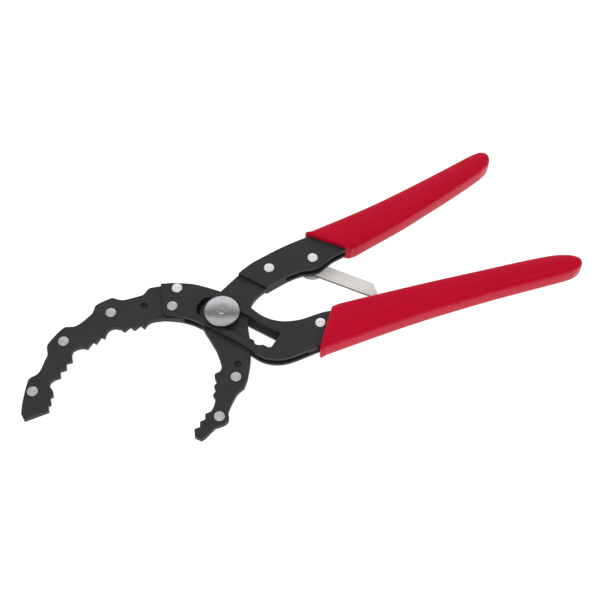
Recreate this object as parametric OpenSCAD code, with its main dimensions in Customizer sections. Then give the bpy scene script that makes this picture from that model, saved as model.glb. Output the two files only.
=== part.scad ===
// Adjustable plier-type oil filter wrench, 12 inch class.
// Two levers cross at a pin that slides along a ratchet slot. Each jaw is a pair of toothed leaves.
// Millimetres. The origin is on the pin's axis at the bench, +X runs along lever A's handle, +Z is up.

/* [Stack] */
// Thickness of each outer plate of lever A and of each cover of lever B
plate_t = 2.0; // [1.8:0.1:2.4]
// Thickness of one jaw leaf
leaf_t = 1.6; // [1.4:0.1:2]
// Running clearance between lever B's leaves and lever A's plates, each side
play = 0.05; // [0.03:0.01:0.1]
// Thickness of the vinyl above and below the steel
dip_t = 2.8; // [2:0.2:3.4]

/* [Pivot and slot] */
// Diameter of the pivot pin
pin_d = 10.8; // [10:0.1:11]
// Diameter of the pin's thinner shank, where it passes the back plate
tail_d = 6; // [5.6:0.1:7]
// Clearance between the pin and the straight edges of the slot, each side
slot_gap = 0.1; // [0.05:0.05:0.2]
// Direction of the slot, measured from lever A's handle
slot_angle = -47; // [-50:1:-44]
// Distance between two resting places of the pin
notch_pitch = 8; // [7:0.5:8]
// Number of resting places
notches = 5; // [4:1:5]
// How far a resting place is cut beyond the slot's edge
notch_depth = 1.8; // [1:0.1:2]
// Diameter of the pin's two heads
cap_d = 18.4; // [17:0.2:20]

/* [Rivets] */
// Diameter of a rivet's shank
rivet_d = 3.6; // [3:0.1:4]
// Diameter of a rivet's head
rivet_head_d = 5.6; // [5:0.1:6]
// Height of a rivet's head
rivet_head_h = 0.9; // [0.6:0.1:1.1]

/* [Swing arm] */
// Width of the flat arm between the handles
arm_w = 8; // [7:0.5:9]
// Thickness of the arm
arm_t = 1.4; // [1:0.1:1.4]
// Direction of the arm, measured from lever A's handle
arm_angle = -40.5; // [-42:0.5:-40]

/* [Hidden] */
$fn = 64;
back_z = dip_t;                              // underside of the back plate
mid_z = back_z + plate_t + leaf_t;           // face where the two leaves meet
top_z = mid_z + leaf_t + plate_t;            // top face of the front plate
pin_r = pin_d / 2;
tail_r = tail_d / 2;
slot_dir = [cos(slot_angle), sin(slot_angle)];
first_seat = -notch_pitch;                   // the pin's first resting place along the slot
last_seat = first_seat + (notches - 1) * notch_pitch;
first_pin = first_seat * slot_dir;

// Rivet places
jaw_a_rivet_at = [[-102.2, -16.6], [-81.8, 7.6], [-55, 17.6]];
lever_a_rivet_at = [[-18.7, 21.3], [-23.7, 11.3], [47, -20.3]];
jaw_b_rivet_at = [[-2.9, -37.5], [-16.6, -56.6]];
lever_b_rivet_at = [31, 19.9];
arm_rivet_at = [55.1, 19.6];

// A smooth curve through points, n steps between each two
function between(a, b, c, d, t) =
  0.5 * (2 * b + (c - a) * t + (2 * a - 5 * b + 4 * c - d) * t * t + (3 * b - a - 3 * c + d) * t * t * t);
function smooth(p, n = 5) = [
  for (i = [0 : len(p) - 2]) for (k = [0 : n - 1])
    between(p[max(i - 1, 0)], p[i], p[i + 1], p[min(i + 2, len(p) - 1)], k / n),
  p[len(p) - 1]];
// An arc of radius r round c
function arc(c, r, from, to, n = 12) = [for (i = [0 : n]) let (a = from + (to - from) * i / n) c + r * [cos(a), sin(a)]];
// n saw teeth from p, each stepping by pitch and cut back by rise
function saw(p, pitch, rise, n) = [for (i = [0 : n - 1]) each [p + i * pitch, p + i * pitch + rise]];

// ---- outlines, seen from above ----

// Upper edge of lever A's plates, from the jaw end to the crossing
a_back_edge = smooth([[-26.3, 26.6], [-21, 25.6], [-15.5, 23.8], [-10, 21.6], [-5, 18.6], [0, 15], [2.4, 13.2]]);
// Edge that faces lever B, from the crossing to the handle
a_inner_edge = smooth([[8.6, 6.8], [13, 1.9], [15.6, -1.8], [18, -5.6], [21, -9], [25, -12], [30.6, -14.3],
                       [38, -15.3], [45, -14.7], [51, -14.4], [58, -14.9]]);
// Lower edge, from the handle back to the jaw
a_outer_edge = smooth([[43, -33.1], [37, -34], [30, -35], [23, -35.2], [17, -33.5], [12.3, -30.4], [8, -25.2],
                       [4, -19.9], [-3.6, -11.8], [-11.2, -3.7], [-15, 0.1], [-19.6, 3.4], [-24, 5.6], [-28.3, 7.2]]);
// Steel inside grip A
a_tang_top = smooth([[58, -14.9], [76, -15], [101, -15.4], [138, -16.4], [160, -17.2], [180, -18.8]]);
a_tang_low = smooth([[180, -25.6], [155, -25.9], [138, -26.2], [106, -27.4], [74, -29.8], [56, -31.6], [43, -32.8]]);
a_tang_end = arc([183, -22.2], 3.6, 75, -75, 8);

// Upper edge of lever B, from the crossing to the handle
b_back_edge = smooth([[3, 14.3], [8, 17.4], [14.5, 21.4], [18.7, 23.7], [24, 26], [30, 27.8], [37, 29.8], [38.5, 30.2]]);
b_cover_edge = smooth([[14.5, 21.4], [18.7, 23.7], [24, 26], [30, 27.8], [37, 29.8], [44.5, 31.6], [53, 33.1], [62, 34.2]]);
// Edge that faces lever A, from the handle back to the crossing; the low spot is under the arm's rivet
b_cover_inner = smooth([[71, 19], [66, 17.7], [61, 15.4], [57, 13.4], [52, 13.2], [47, 13.8], [39, 12.6], [33, 10.8],
                        [26.5, 8.8]]);
b_leaf_inner = smooth([[38.5, 12.5], [33, 10.8], [26.5, 8.8], [20.5, 5.8], [17, 2.8], [15, -0.6], [13, -4.8],
                       [11, -10.2], [9.8, -18], [7.6, -27.6], [5.2, -34.2], [2.4, -40], [-0.4, -44.2]]);
b_tang_top = smooth([[62, 34.2], [76, 36.2], [97, 40.4], [117, 45.6], [137, 51], [152, 55.2], [159, 56.8]]);
b_tang_low = smooth([[161, 50.6], [150, 46], [138, 41.4], [124, 36.1], [111, 31.2], [90, 24.9], [78, 21.2], [71, 19]]);
b_tang_end = arc([161, 54], 3.4, 100, -75, 8);

// Teeth of lever A's jaw, from the smooth throat out to the tip: four groups with arches between
a_jaw_inner = concat(
  smooth([[-19.5, 3.2], [-24, 4.9], [-30, 6.5], [-35.6, 7.2], [-38.2, 6.3]], 3),
  saw([-40.3, 4.3], [-5.2, 0.6], [-1.6, 2.4], 2), [[-50.8, 5.4]],
  smooth([[-52.2, 7.5], [-55.2, 8.9], [-58, 8.4], [-59.8, 6.7]], 3),
  saw([-61.2, 4.1], [-4.8, -1.7], [-1.4, 1.6], 2), [[-70.8, 0.7]],
  smooth([[-73, 2], [-75.6, 2.2], [-78, 1.5], [-79.3, -0.5]], 3),
  saw([-79.7, -4.6], [-3.8, -3.6], [-3.2, 0], 2), [[-87.2, -11.8]],
  smooth([[-90.2, -12.1], [-92.4, -13.1], [-93.5, -15.5], [-92.5, -18.5]], 3),
  [[-92.7, -21.3], [-94.4, -21.8], [-94.6, -25.5], [-96.2, -26], [-96.4, -29.2]]);
// Back of the jaw, from the tip to the plates: a hump round each rivet
a_jaw_outer = concat(
  [[-109.1, -30.7]],
  smooth([[-109.9, -27.2], [-108.7, -22.6], [-106.3, -16.2], [-104.1, -11.2], [-102.4, -8.6], [-98.4, -7.4],
          [-96, -5.2], [-93.2, -0.8], [-91.2, 2.2], [-90.8, 5.8], [-89.8, 8.5], [-85, 12.6], [-80, 15.8],
          [-77, 15.4], [-74.4, 15], [-71, 16.1], [-68.4, 17.6], [-64.8, 19.8], [-63.2, 21.8], [-61.6, 24.4],
          [-57, 25.8], [-52.4, 26.5], [-50, 24.9], [-47.8, 23.8], [-45.4, 23.4], [-39, 23.6], [-36.4, 23.9],
          [-33.6, 26.2], [-31.6, 26.9], [-26.3, 26.4], [-21, 25.4], [-15.5, 23.6], [-12.6, 22.5]], 3));
// Where the jaw's leaves stop short of lever B's head, wherever the pin stands
a_jaw_root = arc(first_pin, 14.2, 118, 190);

// Lever B's jaw, from the back of its first hump round the tip and up its teeth to the throat
b_jaw = concat(
  smooth([[-0.4, -44.2], [-4.2, -46.1], [-7, -49], [-9.8, -52.4], [-11.7, -55.4], [-12.2, -58.6], [-13.6, -60.4],
          [-16, -61.2], [-20, -61.5]], 3),
  [[-26, -65.3], [-28.2, -66.1], [-30.9, -63.6], [-30.2, -59.6], [-27.3, -59.4], [-26.5, -56.6], [-23.8, -56.1],
   [-22.9, -53]],
  smooth([[-19.8, -52.6], [-17.8, -50.2], [-16.4, -47.6], [-16, -46]], 3),
  saw([-16.6, -43.8], [1.8, 4.6], [2, 1.6], 2),
  [[-13.2, -34.4], [-12.7, -32.6]],
  smooth([[-9.8, -32], [-8.6, -30.4], [-8, -27.2], [-8.2, -20.2], [-9, -16], [-10, -11.4], [-11, -7.4],
          [-11.6, -2], [-10.7, 4.4], [-7.4, 9], [-2, 12], [3, 14.3]], 4));

// Outer edges of the grips and their slanted mouths
grip_a_top = smooth([[56, -12.1], [76, -12.3], [101, -12.7], [120, -13.2], [138, -13.8], [155, -14.3], [170, -15],
                     [180, -16], [187, -18]]);
grip_a_end = smooth([[187, -18], [190.4, -20.2], [191.8, -23.2], [190.6, -26.2], [186, -28]], 4);
grip_a_low = smooth([[186, -28], [180, -28.5], [155, -28.6], [138, -28.8], [122, -29.3], [106, -30], [90, -31.1],
                     [74, -32.5], [58, -34.1], [41.6, -35.7]]);
grip_b_top = smooth([[55.4, 35.2], [75, 38.7], [96, 42.9], [117, 48.2], [137, 53.7], [152, 58], [160, 60.3],
                     [165.6, 61.2]]);
grip_b_end = smooth([[165.6, 61.2], [168.8, 59.8], [170.2, 56.6], [168.6, 52.4], [162.6, 48.4]], 4);
grip_b_low = smooth([[162.6, 48.4], [150, 43.1], [139.4, 39], [125, 33.7], [111.6, 28.8], [100, 25.1], [90, 22.1],
                     [82, 19.6], [76.6, 18]]);

// ---- shared shapes ----

module slab(z, h, outline) translate([0, 0, z]) linear_extrude(h) polygon(outline);
module hole(at, d) translate([at[0], at[1], -1]) cylinder(h = top_z + dip_t + 2, d = d);
module holes(list, d) for (at = list) hole(at, d);

// Low domed rivet with a head on both faces
module rivet(at, z0, z1, low_h = rivet_head_h) translate([at[0], at[1], 0]) {
  dome = 2.6;
  rotate_extrude() polygon(concat(
    [[0, z0 - low_h], [rivet_head_d / 2 - 0.5, z0 - low_h], [rivet_head_d / 2, z0 - 0.15], [rivet_head_d / 2, z0],
     [rivet_d / 2, z0], [rivet_d / 2, z1], [rivet_head_d / 2, z1]],
    [for (i = [0 : 6]) let (a = 90 * i / 6)
      [rivet_head_d / 2 * pow(cos(a), 2 / dome), z1 + 0.15 + (rivet_head_h - 0.15) * pow(sin(a), 2 / dome)]]));
}

// The slot for a shank of radius r: a straight lane, resting places cut into one side, a square far end
module slot(r) rotate(slot_angle) {
  lane_r = r + slot_gap;                     // half width of the slot's clear lane
  corner = 1.8;
  lane_end = last_seat + 8.4;
  translate([first_seat, 0]) circle(r = lane_r);
  translate([first_seat, -lane_r]) square([lane_end - corner - first_seat, 2 * lane_r]);
  translate([last_seat, corner - lane_r]) square([lane_end - last_seat, 2 * (lane_r - corner)]);
  for (y = [corner - lane_r, lane_r - corner]) translate([lane_end - corner, y]) circle(r = corner);
  for (i = [0 : notches - 1]) translate([first_seat + i * notch_pitch, -notch_depth]) circle(r = lane_r);
}

// ---- lever A ----

a_plate_outline = concat(a_back_edge, a_inner_edge, a_tang_top, a_tang_end, a_tang_low, a_outer_edge,
                         [[-29.2, 8.7]]);
module lever_a_plate(z, shank_r) difference() {
  slab(z, plate_t, a_plate_outline);
  translate([0, 0, z - 1]) linear_extrude(plate_t + 2) slot(shank_r);
  holes(lever_a_rivet_at, rivet_d);
}
module lever_a_front_plate() color("#2e2f31") lever_a_plate(mid_z + leaf_t, pin_r);
module lever_a_back_plate() color("#2a2b2d") lever_a_plate(back_z, tail_r);

module jaw_a_leaf(z) difference() {
  slab(z, leaf_t, concat(a_jaw_inner, a_jaw_outer, a_jaw_root));
  holes(jaw_a_rivet_at, rivet_d);
  holes([lever_a_rivet_at[0], lever_a_rivet_at[1]], rivet_d);
}
// The front leaf has a shallow round press mark near the plates
module jaw_a_front_leaf() color("#3a3b3e") difference() {
  jaw_a_leaf(mid_z);
  translate([-37.4, 17.2, mid_z + leaf_t - 0.8]) cylinder(h = 1, d = 3.8);
}
module jaw_a_back_leaf() color("#343538") jaw_a_leaf(mid_z - leaf_t);

// Spacer between the plates, from just outside the grip to the handle's end
module lever_a_core() color("#333438") difference() {
  slab(mid_z - leaf_t, 2 * leaf_t, concat([[38, -16.4], [45, -15.8], [51, -15.4]], a_tang_top, a_tang_end, a_tang_low,
                                          [[36.4, -33.4]]));
  hole(lever_a_rivet_at[2], rivet_d);
}

module jaw_a_rivets() color("#b9bbbe") for (at = jaw_a_rivet_at) rivet(at, mid_z - leaf_t, mid_z + leaf_t);
module lever_a_rivets() color("#c6c8ca") for (at = lever_a_rivet_at) rivet(at, back_z, top_z);

// ---- lever B ----

b_low_z = back_z + plate_t + play;           // underside of lever B's back leaf
b_leaf_t = leaf_t - play;
module lever_b_leaf(z) difference() {
  slab(z, b_leaf_t, concat(b_back_edge, b_leaf_inner, b_jaw));
  translate([0, 0, -1]) cylinder(h = top_z + 2, r = pin_r + play);
  holes(jaw_b_rivet_at, rivet_d);
  hole(lever_b_rivet_at, rivet_d);
}
// The front leaf has the same press mark as lever A's
module lever_b_front_leaf() color("#3a3b3e") difference() {
  lever_b_leaf(b_low_z + b_leaf_t);
  translate([0, -30.6, b_low_z + 2 * b_leaf_t - 0.8]) cylinder(h = 1, d = 3.8);
}
module lever_b_back_leaf() color("#343538") lever_b_leaf(b_low_z);

b_cover_outline = concat(b_cover_edge, b_tang_top, b_tang_end, b_tang_low, b_cover_inner);
module lever_b_cover(z) difference() {
  slab(z, plate_t, b_cover_outline);
  hole(lever_b_rivet_at, rivet_d);
  hole(arm_rivet_at, rivet_d);
}
module lever_b_front_cover() color("#2e2f31") lever_b_cover(b_low_z + 2 * b_leaf_t);
module lever_b_back_cover() color("#2a2b2d") lever_b_cover(b_low_z - plate_t);

module lever_b_core() color("#333438")
  slab(b_low_z, 2 * b_leaf_t, concat([[64, 33.8], [70, 34.8]], b_tang_top_from_grip, b_tang_end, b_tang_low_to_grip));
b_tang_top_from_grip = smooth([[76, 35.8], [97, 40.2], [117, 45.4], [137, 50.8], [152, 55], [159, 56.8]]);
b_tang_low_to_grip = smooth([[161, 50.6], [150, 46.2], [138, 41.6], [124, 36.3], [111, 31.4], [90, 25.1], [79, 21.8]]);

module jaw_b_rivets() color("#b9bbbe") for (at = jaw_b_rivet_at) rivet(at, b_low_z, b_low_z + 2 * b_leaf_t);
module lever_b_rivet() color("#c6c8ca")
  rivet(lever_b_rivet_at, b_low_z - plate_t, b_low_z + 2 * b_leaf_t + plate_t);

// ---- grips: dipped vinyl over the handles, long edges rounded over ----

grip_h = top_z + dip_t;
grip_round = 4.2;
function unit(v) = v / norm(v);
// The edge moved inward by d, worked out point by point from its direction
function inset(p, d) = [for (i = [0 : len(p) - 1])
  let (t = unit(p[min(i + 1, len(p) - 1)] - p[max(i - 1, 0)])) p[i] + d * [t[1], -t[0]]];
// Curves that follow on from each other, with each shared end kept once
function joined(lists) = [for (k = [0 : len(lists) - 1])
  for (i = [0 : len(lists[k]) - (k < len(lists) - 1 ? 2 : 1)]) lists[k][i]];
// One closed skin through rings at several heights; the ring's two ends meet in the straight mouth
module dipped(edge) {
  rings = [for (a = [0 : 18 : 90]) grip_round * [1 - sin(a), 1 - cos(a)]];
  levels = concat(rings, [for (i = [len(rings) - 1 : -1 : 0]) [rings[i][0], grip_h - rings[i][1]]]);
  n = len(edge);
  m = len(levels);
  polyhedron(
    [for (q = levels) for (p = inset(edge, q[0])) [p[0], p[1], q[1]]],
    concat([[for (i = [n - 1 : -1 : 0]) i]], [[for (i = [0 : n - 1]) (m - 1) * n + i]],
      [for (k = [0 : m - 2]) for (i = [0 : n - 1]) let (j = (i + 1) % n) each
        [[k * n + i, k * n + j, (k + 1) * n + j], [k * n + i, (k + 1) * n + j, (k + 1) * n + i]]]));
}
grip_a_edge = joined([grip_a_top, grip_a_end, grip_a_low]);
grip_b_edge = joined([grip_b_top, grip_b_end, grip_b_low]);
module grip_a() color("#c01a30") difference() {
  dipped(grip_a_edge);
  slab(back_z, top_z - back_z, a_plate_outline);
}
module grip_b() color("#c01a30") difference() {
  dipped(grip_b_edge);
  slab(b_low_z - plate_t, 2 * plate_t + 2 * b_leaf_t, b_cover_outline);
}

// ---- pivot ----

cap_gap = 0.05;                              // clearance under each head
spigot_d = 5.3;
cap_rim = 2.1;
cap_rise = 1.1;
// Turned pin: flat back head on the bench, shank through both levers, spigot riveted over the cap
module pivot_pin() color("#9c9ea1") rotate_extrude() polygon(concat(
  [[0, 0], [cap_d / 2 - 0.8, 0], [cap_d / 2, 0.8], [cap_d / 2, back_z - cap_gap], [tail_r, back_z - cap_gap],
   [tail_r, back_z + plate_t + play], [pin_r, back_z + plate_t + play],
   [pin_r, top_z + cap_gap], [spigot_d / 2, top_z + cap_gap], [spigot_d / 2, top_z + cap_gap + cap_rim + cap_rise]],
  [[spigot_d / 2 - 0.3, top_z + cap_gap + cap_rim + cap_rise + 0.25],
   [0.6, top_z + cap_gap + cap_rim + cap_rise + 0.3], [0.3, top_z + cap_gap + cap_rim + cap_rise + 0.05],
   [0, top_z + cap_gap + cap_rim + cap_rise]]));
// Domed washer that the spigot holds down on the front plate
module pivot_cap() color("#a9abae") translate([0, 0, top_z + cap_gap]) rotate_extrude() polygon(concat(
  [[spigot_d / 2, 0], [cap_d / 2 - 0.2, 0], [cap_d / 2, 0.2], [cap_d / 2, cap_rim - 0.5]],
  [for (i = [0 : 8]) let (r = cap_d / 2 - 0.3 - (cap_d / 2 - 0.3 - spigot_d / 2) * i / 8)
    [r, cap_rim + cap_rise * (1 - pow(r / (cap_d / 2), 2.4))]]));

// ---- swing arm, under lever B's back cover ----

rivet_foot = 0.5;                            // the arm's rivet has a low back head, clear of the bench
washer_z = 0.57;
washer_t = 0.75;
washer_d = 15.6;
arm_z = washer_z + washer_t + 0.02;
module at_arm_rivet() translate([arm_rivet_at[0], arm_rivet_at[1], 0]) children();
// Flat bar: an eye round the rivet, straight sides, and an end cut square to lever A's handle
arm_near = -5.3;
arm_far = arm_near + arm_w;
arm_reach = 34.8;
arm_end_slope = tan(-arm_angle);
module swing_arm() color("#dcdcd8") difference() {
  at_arm_rivet() rotate(arm_angle) translate([0, 0, arm_z]) {
    cylinder(h = arm_t, r = 6.3);
    linear_extrude(arm_t) polygon([[0, arm_far], [arm_reach - 1, arm_far], [arm_reach - 0.2, arm_far - 0.4],
      [arm_reach + (arm_w - 1.6) * arm_end_slope * 0.98, arm_near + 1.2],
      [arm_reach + (arm_w - 1.9) * arm_end_slope, arm_near + 0.3], [arm_reach + 3.2, arm_near], [0, arm_near]]);
  }
  hole(arm_rivet_at, rivet_d + 2 * play);
}
module arm_washer() color("#b4b5b6") at_arm_rivet() translate([0, 0, washer_z]) difference() {
  cylinder(h = washer_t, d = washer_d);
  translate([0, 0, -1]) cylinder(h = 3, d = rivet_d + 2 * play);
}
module arm_rivet() color("#c6c8ca")
  rivet(arm_rivet_at, washer_z - 0.02, b_low_z + 2 * b_leaf_t + plate_t, rivet_foot);

lever_a_front_plate();
lever_a_back_plate();
lever_a_core();
jaw_a_front_leaf();
jaw_a_back_leaf();
jaw_a_rivets();
lever_a_rivets();
grip_a();
lever_b_front_leaf();
lever_b_back_leaf();
lever_b_front_cover();
lever_b_back_cover();
lever_b_core();
jaw_b_rivets();
lever_b_rivet();
grip_b();
pivot_pin();
pivot_cap();
swing_arm();
arm_washer();
arm_rivet();
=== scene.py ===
import math

import bmesh
import bpy
from mathutils import Matrix, Vector


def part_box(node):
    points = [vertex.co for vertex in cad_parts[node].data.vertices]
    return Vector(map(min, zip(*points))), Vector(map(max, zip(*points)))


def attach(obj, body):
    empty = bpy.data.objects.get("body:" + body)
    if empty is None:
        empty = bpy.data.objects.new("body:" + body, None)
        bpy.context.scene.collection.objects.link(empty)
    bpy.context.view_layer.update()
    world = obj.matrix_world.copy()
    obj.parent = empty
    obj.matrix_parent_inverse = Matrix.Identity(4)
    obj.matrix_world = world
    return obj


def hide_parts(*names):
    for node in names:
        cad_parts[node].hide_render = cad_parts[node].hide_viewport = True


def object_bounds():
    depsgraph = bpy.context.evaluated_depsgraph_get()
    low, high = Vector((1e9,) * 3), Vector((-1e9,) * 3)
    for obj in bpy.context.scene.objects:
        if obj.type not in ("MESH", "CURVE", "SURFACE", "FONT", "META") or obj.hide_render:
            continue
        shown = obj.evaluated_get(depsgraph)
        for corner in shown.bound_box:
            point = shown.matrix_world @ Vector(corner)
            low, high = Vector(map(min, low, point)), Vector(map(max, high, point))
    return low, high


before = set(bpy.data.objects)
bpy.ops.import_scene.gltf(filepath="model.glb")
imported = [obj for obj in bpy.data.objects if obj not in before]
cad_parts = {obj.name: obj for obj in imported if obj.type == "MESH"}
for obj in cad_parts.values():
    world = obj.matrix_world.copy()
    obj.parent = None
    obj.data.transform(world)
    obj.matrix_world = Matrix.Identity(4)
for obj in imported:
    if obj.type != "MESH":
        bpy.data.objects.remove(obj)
cad_low, cad_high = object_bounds()
MM = 0.001

# ---- Steel plates of both levers -------------------------------------------------------------------
# Blanked from 2 mm strip, oil-blacked and left satin. The blanking press rolls the outer edges over a
# little, and the rolled edge is coloured as a paler line, partly rubbed bare by handling and partly painted
# highlight. Riveted flat against the jaw leaves.


def linear(code):
    """An sRGB hex colour as linear red, green, blue, alpha."""
    out = []
    for i in (1, 3, 5):
        c = int(code[i:i + 2], 16) / 255
        out.append(c / 12.92 if c <= 0.04045 else ((c + 0.055) / 1.055) ** 2.4)
    return (*out, 1.0)


def add(tree, kind, settings=None, links=None):
    """Adds one shader node, sets its properties, plain inputs and colour stops, and joins its inputs."""
    n = tree.nodes.new(kind)
    for key, value in (settings or {}).items():
        if key == "stops":
            while len(n.color_ramp.elements) < len(value):
                n.color_ramp.elements.new(0.5)
            for stop, (place, tone) in zip(n.color_ramp.elements, value):
                stop.position = place
                stop.color = tone if isinstance(tone, tuple) else (tone, tone, tone, 1)
        elif isinstance(key, str) and hasattr(n, key):
            setattr(n, key, value)
        else:
            n.inputs[key].default_value = value
    for key, source in (links or {}).items():
        tree.links.new(source, n.inputs[key])
    return n


def new_material(name):
    """An empty material with one shader: the material, its tree, the shader and object coordinates."""
    m = bpy.data.materials.new(name)
    m.use_nodes = True
    t = m.node_tree
    t.nodes.clear()
    shader = add(t, "ShaderNodeBsdfPrincipled")
    add(t, "ShaderNodeOutputMaterial", None, {"Surface": shader.outputs["BSDF"]})
    return m, t, shader, add(t, "ShaderNodeTexCoord").outputs["Object"]


GRAIN_MM = 0.5                               # drawn coarser than the real oxide grain, so that it shows
ROLL_MM = 0.4                                # how far in from an edge the pale line (rubbing and painted highlight) reaches


def oil_blacked(name, base, pale, edge_rubbed_and_highlight, roughness, cloud_mm):
    """Near-black satin oxide: cloudy where the oil dried, a paler line on the edges (partly rubbed bare,
    partly painted highlight), finely grained.
    """
    m, t, shader, place = new_material(name)
    cloud = add(t, "ShaderNodeTexNoise", {"Scale": 1 / (cloud_mm * MM), "Detail": 3, "Roughness": 0.55},
                {"Vector": place}).outputs["Fac"]
    grain = add(t, "ShaderNodeTexNoise", {"Scale": 1 / (GRAIN_MM * MM), "Detail": 5, "Roughness": 0.55},
                {"Vector": place}).outputs["Fac"]
    dried = add(t, "ShaderNodeValToRGB", {"stops": [(0.3, 0.0), (0.75, 1.0)]}, {"Fac": cloud})
    tone = add(t, "ShaderNodeMix", {"data_type": "RGBA", 6: linear(base), 7: linear(pale)},
               {0: dried.outputs["Color"]})
    # Paler edge line: partly rubbed bare, partly painted highlight along the rolled edges
    soft = add(t, "ShaderNodeBevel", {"samples": 6, "Radius": ROLL_MM * MM})
    here = add(t, "ShaderNodeNewGeometry")
    turned_over = add(t, "ShaderNodeVectorMath", {"operation": "DOT_PRODUCT"},
                      {0: soft.outputs["Normal"], 1: here.outputs["Normal"]})
    edge = add(t, "ShaderNodeValToRGB", {"stops": [(0.8, 1.0), (0.97, 0.0)]},
               {"Fac": turned_over.outputs["Value"]})
    patchy = add(t, "ShaderNodeValToRGB", {"stops": [(0.35, 0.25), (0.6, 1.0)]}, {"Fac": cloud})
    rubbed_and_highlight = add(t, "ShaderNodeMath", {"operation": "MULTIPLY", "use_clamp": True},
               {0: edge.outputs["Color"], 1: patchy.outputs["Color"]})
    colour = add(t, "ShaderNodeMix", {"data_type": "RGBA", 7: linear(edge_rubbed_and_highlight)},
                 {0: rubbed_and_highlight.outputs[0], 6: tone.outputs[2]})
    t.links.new(colour.outputs[2], shader.inputs["Base Color"])
    satin = add(t, "ShaderNodeValToRGB", {"stops": [(0.25, roughness - 0.07), (0.75, roughness + 0.09)]},
                {"Fac": grain})
    t.links.new(satin.outputs["Color"], shader.inputs["Roughness"])
    bump = add(t, "ShaderNodeBump", {"Strength": 0.25, "Distance": 0.06 * MM}, {"Height": grain})
    t.links.new(bump.outputs["Normal"], shader.inputs["Normal"])
    shader.inputs["Specular IOR Level"].default_value = 0.3
    return m


# Gives the eye a soft black with faint grey clouds and a thin pale line along each rolled edge, partly
# rubbed and partly painted highlight
plate_black = oil_blacked("oil_blacked_plate", "#202122", "#2a2a2c", "#6a6b6d", 0.46, 14)


def finish_node(node, material, roll_mm=0, angle=35, segments=2):
    """Gives a CAD node its material and, if roll_mm is set, rolls its sharp edges over by that much."""
    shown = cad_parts[node]
    shown.data.materials.clear()
    shown.data.materials.append(material)
    if not roll_mm:
        return shown
    weld = shown.modifiers.new("weld", "WELD")
    weld.merge_threshold = 0.002 * MM
    flat = shown.modifiers.new("whole_faces", "DECIMATE")
    flat.decimate_type = "DISSOLVE"
    flat.angle_limit = math.radians(1)
    roll = shown.modifiers.new("rolled_edge", "BEVEL")
    roll.width = roll_mm * MM
    roll.segments = segments
    roll.limit_method = "ANGLE"
    roll.angle_limit = math.radians(angle)
    roll.use_clamp_overlap = False
    even = shown.modifiers.new("even_shading", "WEIGHTED_NORMAL")
    even.weight = 100
    return shown


for node in ("lever_a_front_plate", "lever_a_back_plate", "lever_b_front_cover", "lever_b_back_cover"):
    finish_node(node, plate_black, 0.3)
for node in ("lever_a_core", "lever_b_core"):
    finish_node(node, plate_black, 0.15)

# ---- Jaw leaves ------------------------------------------------------------------------------------
# Two 1.6 mm leaves per jaw, blanked with arches between groups of saw teeth, then oil-blacked. The
# filter can has rubbed the teeth, so their tips are greyer than the plates; the pale line on every leaf edge
# is partly that rubbing and partly painted highlight.
# Gives the eye a slightly browner, rougher black than the plates, with greyer tooth edges, partly rubbed and
# partly painted highlight
jaw_black = oil_blacked("oil_blacked_jaw", "#212123", "#2c2c2e", "#707173", 0.48, 9)
PRESS_MARKS = ((-37.4, 17.2, 7.2), (0.0, -30.6, 7.2))   # floors of the two round press marks, mm
PRESS_R = 2.0                                # everything this near, mm, is inside the mark
# Painted shade: the colour inside each press mark goes to near black, standing in for the shade in its
# recess
t = jaw_black.node_tree
shader = next(n for n in t.nodes if n.type == "BSDF_PRINCIPLED")
here = add(t, "ShaderNodeTexCoord").outputs["Object"]
colour = shader.inputs["Base Color"].links[0].from_socket
for middle in PRESS_MARKS:
    away = add(t, "ShaderNodeVectorMath", {"operation": "DISTANCE", 1: [v * MM for v in middle]}, {0: here})
    inside = add(t, "ShaderNodeMath", {"operation": "MULTIPLY", "use_clamp": True, 1: 0.5 / (PRESS_R * MM)},
                 {0: away.outputs["Value"]})
    # Painted shade mask: 1 inside the press mark, 0 outside
    painted_recess_shade = add(t, "ShaderNodeValToRGB", {"stops": [(0.44, 1.0), (0.51, 0.0)]}, {"Fac": inside.outputs[0]})
    colour = add(t, "ShaderNodeMix", {"data_type": "RGBA", 7: linear("#0c0c0d")},
                 {0: painted_recess_shade.outputs["Color"], 6: colour}).outputs[2]
t.links.new(colour, shader.inputs["Base Color"])
for node in ("jaw_a_front_leaf", "jaw_a_back_leaf", "lever_b_front_leaf", "lever_b_back_leaf"):
    finish_node(node, jaw_black, 0.22)

# ---- Rivets ----------------------------------------------------------------------------------------
# Soft steel rivets, set with a snap tool after blacking, so the heads are bare metal. The levers' rivets
# were plated bright; those in the jaws are duller. Each head keeps small tool marks.


def bare_steel(name, low, high, roughness, mark_mm):
    """Bare formed steel: brightness clouds, fine tool marks in bump and roughness."""
    m, t, shader, place = new_material(name)
    cloud = add(t, "ShaderNodeTexNoise", {"Scale": 1 / (mark_mm * 4 * MM), "Detail": 3, "Roughness": 0.55},
                {"Vector": place}).outputs["Fac"]
    marks = add(t, "ShaderNodeTexNoise", {"Scale": 1 / (mark_mm * MM), "Detail": 4, "Roughness": 0.6},
                {"Vector": place}).outputs["Fac"]
    tone = add(t, "ShaderNodeMix", {"data_type": "RGBA", 6: linear(low), 7: linear(high)}, {0: cloud})
    t.links.new(tone.outputs[2], shader.inputs["Base Color"])
    formed = add(t, "ShaderNodeValToRGB", {"stops": [(0.3, roughness - 0.08), (0.7, roughness + 0.12)]},
                 {"Fac": marks})
    t.links.new(formed.outputs["Color"], shader.inputs["Roughness"])
    shader.inputs["Metallic"].default_value = 1.0
    bump = add(t, "ShaderNodeBump", {"Strength": 0.35, "Distance": 0.05 * MM}, {"Height": marks})
    t.links.new(bump.outputs["Normal"], shader.inputs["Normal"])
    return m


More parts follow.
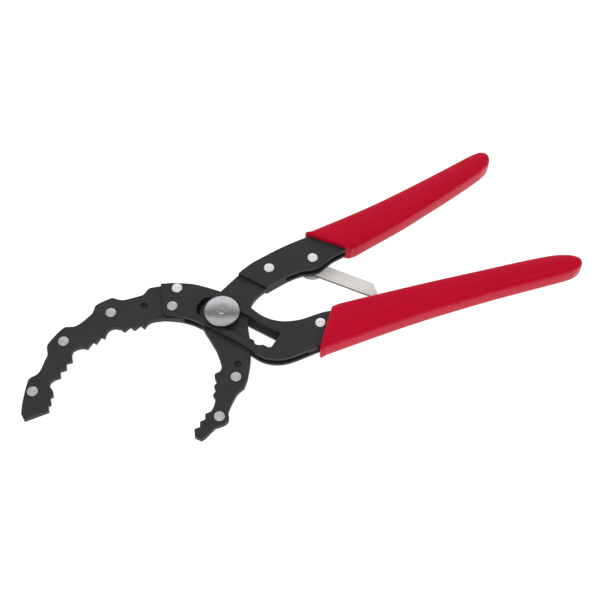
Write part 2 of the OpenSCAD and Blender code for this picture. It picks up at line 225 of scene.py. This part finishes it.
def lathe(name, profile, body, around=(0, 0), sides=96):
    """A turned piece: the (radius, height) profile in mm spun round a vertical axis."""
    b = bmesh.new()
    rows = []
    for k in range(sides):
        turn = math.tau * k / sides
        east, north = math.cos(turn), math.sin(turn)
        rows.append([b.verts.new(((around[0] + r * east) * MM, (around[1] + r * north) * MM, z * MM))
                     for r, z in profile])
    for one, two in zip(rows, rows[1:] + rows[:1]):
        for k in range(len(profile) - 1):
            b.faces.new((one[k], two[k], two[k + 1], one[k + 1]))
    bmesh.ops.remove_doubles(b, verts=b.verts, dist=0.0005 * MM)
    bmesh.ops.recalc_face_normals(b, faces=b.faces)
    mesh = bpy.data.meshes.new(name)
    b.to_mesh(mesh)
    b.free()
    for f in mesh.polygons:
        f.use_smooth = True
    piece = bpy.data.objects.new(name, mesh)
    bpy.context.scene.collection.objects.link(piece)
    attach(piece, body)
    return piece


def solids(node):
    """Each separate solid of a CAD node: its middle in plan and its lowest and highest point, mm."""
    b = bmesh.new()
    b.from_mesh(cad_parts[node].data)
    bmesh.ops.remove_doubles(b, verts=b.verts, dist=0.001 * MM)
    left = set(b.verts)
    found = []
    while left:
        group, edge = set(), [left.pop()]
        while edge:
            v = edge.pop()
            group.add(v)
            near = [e.other_vert(v) for e in v.link_edges]
            edge += [w for w in near if w in left]
            left.difference_update(near)
        xs, ys, zs = zip(*((v.co / MM)[:] for v in group))
        found.append(((min(xs) + max(xs)) / 2, (min(ys) + max(ys)) / 2, min(zs), max(zs)))
    b.free()
    return sorted(found)


HEAD_R = 2.8                                 # radius of a rivet's head, mm
SHANK_R = 1.8                                # radius of its shank
HEAD_H = 0.9                                 # height of a head
ARM_FOOT_H = 0.5                             # the arm's rivet has a thinner foot, to clear the floor


def set_rivet(name, where, body, material, foot=HEAD_H):
    """A rivet with two low heads: flat-topped, edges rolled down, a shallow ring left by the snap tool."""
    x, y, low, high = where
    top = [(HEAD_R, 0.0), (HEAD_R, 0.22), (2.68, 0.46), (2.42, 0.64), (2.0, 0.76), (1.5, 0.83), (1.2, 0.84),
           (1.05, 0.76), (0.9, 0.7), (0.75, 0.76), (0.6, 0.86), (0.3, HEAD_H), (0.0, HEAD_H)]
    profile = [(r, low + foot * (1 - h / HEAD_H)) for r, h in top[::-1]] + [(SHANK_R, low + foot)]
    profile += [(SHANK_R, high - HEAD_H)] + [(r, high - HEAD_H + h) for r, h in top]
    piece = lathe(name, profile, body, (x, y), 40)
    piece.data.materials.append(material)
    return piece


# Gives the eye small bright buttons along the levers
rivet_bright = bare_steel("plated_rivet_steel", "#cfd0d1", "#eeeeef", 0.36, 0.8)
# Gives the eye greyer buttons on the jaws
rivet_dull = bare_steel("plain_rivet_steel", "#a4a6a8", "#cacccd", 0.42, 0.8)
DULL_RIVET_X = -23.7                         # the lever rivet at this x, mm, was driven unplated
for node, body, material, foot in (("lever_a_rivets", "lever_a", rivet_bright, HEAD_H),
                                   ("lever_b_rivet", "lever_b", rivet_bright, HEAD_H),
                                   ("arm_rivet", "lever_b", rivet_bright, ARM_FOOT_H),
                                   ("jaw_a_rivets", "lever_a", rivet_dull, HEAD_H),
                                   ("jaw_b_rivets", "lever_b", rivet_dull, HEAD_H)):
    for number, where in enumerate(solids(node), 1):
        metal = rivet_dull if abs(where[0] - DULL_RIVET_X) < 1 else material
        rivet = set_rivet(f"{node}_set_{number}", where, body, metal, foot)
        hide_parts(node)

# ---- Pivot -----------------------------------------------------------------------------------------
# Turned steel pin with a domed cap held down by its riveted spigot. The cap was linished one way, which
# left fine straight lines, and its edge is broken by a small chamfer.
m, t, shader, place = new_material("turned_pivot_steel")
streaks = add(t, "ShaderNodeMapping", None, {"Vector": place})
LINISH_TURN, LINISH_SQUEEZE = 17.7, 0.06     # the lines' angle, degrees, and how far they are drawn out
streaks.inputs["Rotation"].default_value = (0, 0, math.radians(LINISH_TURN))
streaks.inputs["Scale"].default_value = (LINISH_SQUEEZE, 1, 1)
LINE_MM, SMEAR_MM = 0.35, 5                  # width of the lines and of the smears between them
brushed = add(t, "ShaderNodeTexNoise", {"Scale": 1 / (LINE_MM * MM), "Detail": 4, "Roughness": 0.7},
              {"Vector": streaks.outputs["Vector"]}).outputs["Fac"]
smear = add(t, "ShaderNodeTexNoise", {"Scale": 1 / (SMEAR_MM * MM), "Detail": 3, "Roughness": 0.55},
            {"Vector": place}).outputs["Fac"]
# Gives the eye a silky grey face with straight hair-fine brush lines
tone = add(t, "ShaderNodeMix", {"data_type": "RGBA", 6: linear("#909294"), 7: linear("#a6a8aa")}, {0: smear})
lines = add(t, "ShaderNodeValToRGB", {"stops": [(0.35, 0.0), (0.65, 0.2)]}, {"Fac": brushed})
face = add(t, "ShaderNodeMix", {"data_type": "RGBA", 7: linear("#c4c5c7")},
           {0: lines.outputs["Color"], 6: tone.outputs[2]})
t.links.new(face.outputs[2], shader.inputs["Base Color"])
silk = add(t, "ShaderNodeValToRGB", {"stops": [(0.3, 0.2), (0.7, 0.26)]}, {"Fac": brushed})
t.links.new(silk.outputs["Color"], shader.inputs["Roughness"])
shader.inputs["Metallic"].default_value = 1.0
bump = add(t, "ShaderNodeBump", {"Strength": 0.12, "Distance": 0.02 * MM}, {"Height": brushed})
t.links.new(bump.outputs["Normal"], shader.inputs["Normal"])
turned = m
finish_node("pivot_pin", turned)

cap_low, cap_high = (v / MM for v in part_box("pivot_cap"))
CAP_R = cap_high.x                           # radius of the cap, mm
HOLE_R = 2.65                                # radius of the spigot in its middle
RIM_H = 2.0                                  # height of the cap's upright edge
DOME_POWER = 2.4                             # how late the dome falls away towards its rim
DOME_STEPS = 24                              # rings across the dome
DOME_R = CAP_R - 0.25                        # where the dome meets the broken edge
dome = [DOME_R - (DOME_R - HOLE_R) * i / DOME_STEPS for i in range(DOME_STEPS + 1)]
cap_profile = [(HOLE_R, cap_low.z), (CAP_R - 0.15, cap_low.z), (CAP_R, cap_low.z + 0.15),
               (CAP_R, cap_low.z + RIM_H - 0.35), (CAP_R - 0.08, cap_low.z + RIM_H - 0.15)]
cap_profile += [(r, cap_low.z + RIM_H + (cap_high.z - cap_low.z - RIM_H) * (1 - (r / CAP_R) ** DOME_POWER))
                for r in dome]
cap_profile += [(HOLE_R, cap_low.z)]
cap = lathe("pivot_cap_turned", cap_profile, "pivot")
cap.data.materials.append(turned)
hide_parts("pivot_cap")

# ---- Swing arm and its washer ----------------------------------------------------------------------
# Flat bar sheared from zinc-plated strip, with a large plated washer under its eye. The sheared sides
# are painted dark by the way they face, as painted shade.
m, t, shader, place = new_material("plated_strip")
SPANGLE_MM, MARK_MM = 3, 0.6                 # size of the zinc spangle and of the fine handling marks
spangle = add(t, "ShaderNodeTexNoise", {"Scale": 1 / (SPANGLE_MM * MM), "Detail": 2, "Roughness": 0.55},
              {"Vector": place}).outputs["Fac"]
marks = add(t, "ShaderNodeTexNoise", {"Scale": 1 / (MARK_MM * MM), "Detail": 4, "Roughness": 0.55},
            {"Vector": place}).outputs["Fac"]
facing = add(t, "ShaderNodeSeparateXYZ", None, {0: add(t, "ShaderNodeNewGeometry").outputs["Normal"]})
# Painted shade: faces that don't face up are darkened towards grey
painted_side_shade = add(t, "ShaderNodeValToRGB", {"stops": [(0.5, linear("#4c4c4a")), (0.8, linear("#ffffff"))]},
           {"Fac": facing.outputs["Z"]})
faces = add(t, "ShaderNodeMix", {"data_type": "RGBA", 6: linear("#dddcd7"), 7: linear("#e8e7e2")},
            {0: spangle})
# Gives the eye a warm pale face with cut sides darkened as painted shade
tinted = add(t, "ShaderNodeMix", {"data_type": "RGBA", "blend_type": "MULTIPLY", 0: 1.0},
             {6: faces.outputs[2], 7: painted_side_shade.outputs["Color"]})
t.links.new(tinted.outputs[2], shader.inputs["Base Color"])
dull = add(t, "ShaderNodeValToRGB", {"stops": [(0.3, 0.38), (0.7, 0.5)]}, {"Fac": marks})
t.links.new(dull.outputs["Color"], shader.inputs["Roughness"])
shader.inputs["Metallic"].default_value = 0.05
bump = add(t, "ShaderNodeBump", {"Strength": 0.2, "Distance": 0.03 * MM}, {"Height": marks})
t.links.new(bump.outputs["Normal"], shader.inputs["Normal"])
finish_node("swing_arm", m, 0.12)
finish_node("arm_washer", m, 0.1)

# ---- Grips -----------------------------------------------------------------------------------------
# Each handle was dipped in red vinyl, which left a satin skin with a flat top and rounded shoulders. The
# skin ends at the mouth in a slanted, rounded lip that clings to the steel.
m, t, shader, place = new_material("dipped_red_vinyl")
CLOUD_MM, SKIN_MM, WAVE_MM = 18, 0.7, 9      # colour clouds, skin grain and the waviness of the dip
cloud = add(t, "ShaderNodeTexNoise", {"Scale": 1 / (CLOUD_MM * MM), "Detail": 3, "Roughness": 0.55},
            {"Vector": place}).outputs["Fac"]
skin = add(t, "ShaderNodeTexNoise", {"Scale": 1 / (SKIN_MM * MM), "Detail": 4, "Roughness": 0.55},
           {"Vector": place}).outputs["Fac"]
wave = add(t, "ShaderNodeTexNoise", {"Scale": 1 / (WAVE_MM * MM), "Detail": 1, "Roughness": 0.55},
           {"Vector": place}).outputs["Fac"]
# Gives the eye a deep, even red with a broad soft sheen and a faintly wavy skin
red = add(t, "ShaderNodeMix", {"data_type": "RGBA", 6: linear("#ba0828"), 7: linear("#c20c2e")}, {0: cloud})
t.links.new(red.outputs[2], shader.inputs["Base Color"])
sheen = add(t, "ShaderNodeValToRGB", {"stops": [(0.3, 0.19), (0.7, 0.26)]}, {"Fac": skin})
t.links.new(sheen.outputs["Color"], shader.inputs["Roughness"])
shader.inputs["Specular IOR Level"].default_value = 0.13
shader.inputs["Specular Tint"].default_value = (1.0, 0.4, 0.45, 1.0)
fine = add(t, "ShaderNodeBump", {"Strength": 0.12, "Distance": 0.05 * MM}, {"Height": skin})
broad = add(t, "ShaderNodeBump", {"Strength": 0.3, "Distance": 0.4 * MM},
            {"Height": wave, "Normal": fine.outputs["Normal"]})
t.links.new(broad.outputs["Normal"], shader.inputs["Normal"])
vinyl = m

LIP = 1.1                                    # radius of the lip at the mouth, mm
SHOULDER = 3.0                               # radius of the rounded long edges, mm
WALL = 3.2                                   # how far the lip turns in to reach the steel, mm
CROWN = 0.2                                  # how much the flat top and back swell, mm
CORNER_STEPS = 8                             # points round each long edge
CROWN_STEPS = 6                              # steps across the top and the back
RINGS = 60                                   # rings from mouth to tip
TIP_WIDE = 4.5                               # half width, mm, below which the tip thins
OUTLINE_DROP = 1.6                           # how far below mid-height the outline is taken, mm


def level_outline(node, height):
    """The outline of a CAD node at one height, as a chain from its first free end to its last, mm."""
    b = bmesh.new()
    b.from_mesh(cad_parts[node].data)
    bmesh.ops.remove_doubles(b, verts=b.verts, dist=0.001 * MM)
    cut = bmesh.ops.bisect_plane(b, geom=b.verts[:] + b.edges[:] + b.faces[:], dist=1e-7,
                                 plane_co=(0, 0, height * MM), plane_no=(0, 0, 1))["geom_cut"]
    edges = [g for g in cut if isinstance(g, bmesh.types.BMEdge)]
    near = {}
    for edge in edges:
        v, w = edge.verts
        near.setdefault(v, []).append(w)
        near.setdefault(w, []).append(v)
    loops = []
    left = set(near)
    while left:
        walk = [left.pop()]
        while True:
            more = [w for w in near[walk[-1]] if w in left]
            if not more:
                break
            left.discard(more[0])
            walk.append(more[0])
        loops.append([Vector((v.co.x / MM, v.co.y / MM)) for v in walk])
    b.free()
    return max(loops, key=len)


def along_chain(chain, share):
    """The point at a share (0 to 1) of a chain's length."""
    steps = [(q - p).length for p, q in zip(chain, chain[1:])]
    left = share * sum(steps)
    for (p, q), step in zip(zip(chain, chain[1:]), steps):
        if left <= step:
            return p.lerp(q, left / step if step else 0)
        left -= step
    return chain[-1].copy()


def rounded_section(wide, tall, r):
    """A rounded rectangle as a ring of points, with its top and back swelling by CROWN between corners."""
    ring = []
    for corner, (u, v) in enumerate(((1, 1), (-1, 1), (-1, -1), (1, -1))):
        for i in range(CORNER_STEPS):
            turn = math.radians(90 * (corner + i / (CORNER_STEPS - 1)))
            ring.append((u * (wide - r) + r * math.cos(turn), v * (tall - r) + r * math.sin(turn)))
        if corner % 2 == 0:                  # across the top, then across the back
            for i in range(1, CROWN_STEPS):
                swell = CROWN * math.sin(math.pi * i / CROWN_STEPS) * min(1, (wide - r) / 4)
                ring.append((u * (wide - r) * (1 - 2 * i / CROWN_STEPS), v * (tall + swell)))
    return ring


def dipped_grip(node, body, mouth_low, mouth_high):
    """The vinyl skin of one handle, lofted between the two long edges of its CAD outline."""
    low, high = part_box(node)
    half_height = (high.z - low.z) / 2 / MM
    outline = level_outline(node, half_height + low.z / MM - OUTLINE_DROP)
    mouth = (Vector(mouth_low), Vector(mouth_high))

    def nearest(p):
        return min(range(len(outline)), key=lambda i: (outline[i] - p).length)
    first = nearest(mouth[1])
    loop = outline[first:] + outline[:first]
    last = min(range(len(loop)), key=lambda i: (loop[i] - mouth[0]).length)
    skin_way, mouth_way = loop[:last + 1], [loop[0]] + loop[:last - 1:-1]
    chain = max((skin_way, mouth_way), key=lambda c: max((p - mouth[0]).length for p in c))
    middle = (mouth[0] + mouth[1]) / 2
    apex = max(range(len(chain)), key=lambda i: (chain[i] - middle).length)
    sides = (chain[:apex + 1], chain[apex:][::-1])
    out = (mouth[1] - mouth[0]).normalized()
    out = Vector((-out.y, out.x))
    stations = [(0.0, LIP * math.sin(q), LIP * (1 - math.cos(q)) + d) for q, d in
                [(math.radians(a), 0) for a in (68, 45, 22, 0)]]
    stations = [(0.0, LIP, LIP + WALL), (0.0, LIP, LIP)] + stations
    ends = [1 - (1 - i / RINGS) ** 1.6 for i in range(1, RINGS + 1)]
    stations += [(share, 0.0, 0.0) for share in ends]
    b = bmesh.new()
    rings = []
    for share, forward, inward in stations:
        p, q = along_chain(sides[0], share), along_chain(sides[1], share)
        centre = (p + q) / 2 + out * (forward - LIP * (1 - min(share * 40, 1)))
        across = (p - q) / 2
        wide = across.length
        across = across.normalized() if wide > 1e-6 else Vector((0, 1))
        full = 1 - max(0.0, 1 - wide / TIP_WIDE) ** 2.4
        tall = max(half_height * full ** 0.5 - inward - CROWN, 0.02)
        wide = max(wide - inward, 0.02)
        r = min(SHOULDER, wide * 0.98, tall * 0.98)
        ring = rounded_section(wide, tall, r)
        mid = low.z / MM + half_height
        rings.append([b.verts.new(((centre.x + across.x * u) * MM, (centre.y + across.y * u) * MM,
                                   (mid + v) * MM)) for u, v in ring])
    count = len(rings[0])
    for one, two in zip(rings, rings[1:]):
        for i in range(count):
            j = (i + 1) % count
            b.faces.new((one[i], one[j], two[j], two[i]))
    b.faces.new(rings[-1])
    b.faces.new(rings[0][::-1])
    bmesh.ops.recalc_face_normals(b, faces=b.faces)
    mesh = bpy.data.meshes.new(node + "_vinyl")
    b.to_mesh(mesh)
    b.free()
    piece = bpy.data.objects.new(node + "_vinyl", mesh)
    bpy.context.scene.collection.objects.link(piece)
    mesh.materials.append(vinyl)
    for f in mesh.polygons:
        f.use_smooth = True
    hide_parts(node)
    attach(piece, body)
    return piece


dipped_grip("grip_a", "lever_a", (41.6, -35.7), (56, -12.1))
dipped_grip("grip_b", "lever_b", (76.6, 18), (55.4, 35.2))

# ---- Floor, light and camera -----------------------------------------------------------------------
# A pale floor that glows enough to keep the shadows faint. Soft lamps stand behind, in front and to the
# left of the tool.
FLOOR, FLOOR_SPREAD = 0.9, 8                 # half the floor's side, m, and how far it is scaled up
FLOOR_GAP = 0.0002                           # the floor lies this far under the tool, m
mesh = bpy.data.meshes.new("floor")
mesh.from_pydata([(-FLOOR, -FLOOR, 0), (FLOOR, -FLOOR, 0), (FLOOR, FLOOR, 0), (-FLOOR, FLOOR, 0)],
                 [], [(0, 1, 2, 3)])
floor = bpy.data.objects.new("floor", mesh)
bpy.context.scene.collection.objects.link(floor)
floor.location.z = cad_low.z - FLOOR_GAP
floor.scale = (FLOOR_SPREAD, FLOOR_SPREAD, 1)
m, t, shader, place = new_material("white_paper_floor")
FIBRE_MM = 60                                # size of the faint patches in the paper
patches = add(t, "ShaderNodeTexNoise", {"Scale": 1 / (FIBRE_MM * MM), "Detail": 3, "Roughness": 0.55},
              {"Vector": place}).outputs["Fac"]
paper = add(t, "ShaderNodeValToRGB", {"stops": [(0.3, linear("#aaaaaa")), (0.7, linear("#adadad"))]},
            {"Fac": patches})
# Gives the eye an even near-white ground
t.links.new(paper.outputs["Color"], shader.inputs["Base Color"])
shader.inputs["Roughness"].default_value = 0.9
shader.inputs["Specular IOR Level"].default_value = 0.1
shader.inputs["Emission Color"].default_value = linear("#ffffff")
shader.inputs["Emission Strength"].default_value = 0.88
mesh.materials.append(m)

# The room: pale near and far walls, brightest just past overhead, then one narrow dim band
AWAY = (0.305, 0.952, 0.0)                   # level direction from the camera's side to the far wall
world = bpy.data.worlds.new("studio")
bpy.context.scene.world = world
world.use_nodes = True
t = world.node_tree
away = add(t, "ShaderNodeVectorMath", {"operation": "DOT_PRODUCT", 1: AWAY},
           {0: add(t, "ShaderNodeTexCoord").outputs["Generated"]})
halved = add(t, "ShaderNodeMath", {"operation": "MULTIPLY", "use_clamp": False, 1: 0.5},
             {0: away.outputs["Value"]})
level = add(t, "ShaderNodeMath", {"operation": "ADD", "use_clamp": True, 1: 0.5}, {0: halved.outputs[0]})
ROOM = [(0.0, 0.9), (0.2, 0.5), (0.3, 0.5), (0.38, 0.8), (0.63, 1.7),     # near wall to past overhead
        (0.68, 0.28), (0.74, 0.3), (0.77, 1.05), (0.9, 1.1), (1.0, 0.8)]  # dim band to far wall
room = add(t, "ShaderNodeValToRGB", {"stops": ROOM}, {"Fac": level.outputs[0]})
t.links.new(room.outputs["Color"], t.nodes["Background"].inputs["Color"])
t.nodes["Background"].inputs["Strength"].default_value = 0.85


def softbox(name, place, target, size, power):
    """A rectangular area light at place, turned to target."""
    data = bpy.data.lights.new(name, "AREA")
    data.shape = "RECTANGLE"
    data.size, data.size_y = size
    data.energy = power
    lamp = bpy.data.objects.new(name, data)
    lamp.location = place
    lamp.rotation_mode = "QUATERNION"
    lamp.rotation_quaternion = (Vector(target) - Vector(place)).to_track_quat("-Z", "Y")
    bpy.context.scene.collection.objects.link(lamp)


softbox("back_softbox", (0.35, 1.05, 0.75), (0.03, 0.0, 0.0), (1.4, 0.6), 2)
softbox("front_strip", (-0.27, -0.84, 0.81), (0.08, 0.0, 0.0), (1.4, 0.05), 2.6)
softbox("side_softbox", (-0.8, -0.3, 0.5), (0.0, 0.0, 0.0), (0.4, 0.6), 0.8)

VIEW_AZIMUTH, VIEW_ELEVATION, VIEW_ROLL = -17.74, 57.5, 1.0   # degrees
camera_data = bpy.data.cameras.new("camera")
camera_data.lens = 75
camera_data.sensor_width = 36
camera_data.clip_start, camera_data.clip_end = 0.01, 20
camera = bpy.data.objects.new("camera", camera_data)
camera.location = (-0.0657, -0.3372, 0.5591)
a, e = math.radians(VIEW_AZIMUTH), math.radians(VIEW_ELEVATION)
back = Vector((math.sin(a) * math.cos(e), -math.cos(a) * math.cos(e), math.sin(e)))
aim = (-back).to_track_quat("-Z", "Y")
camera.rotation_mode = "QUATERNION"
camera.rotation_quaternion = aim @ Matrix.Rotation(math.radians(VIEW_ROLL), 3, "Z").to_quaternion()
bpy.context.scene.collection.objects.link(camera)
bpy.context.scene.camera = camera
bpy.context.scene.view_settings.view_transform = "Standard"
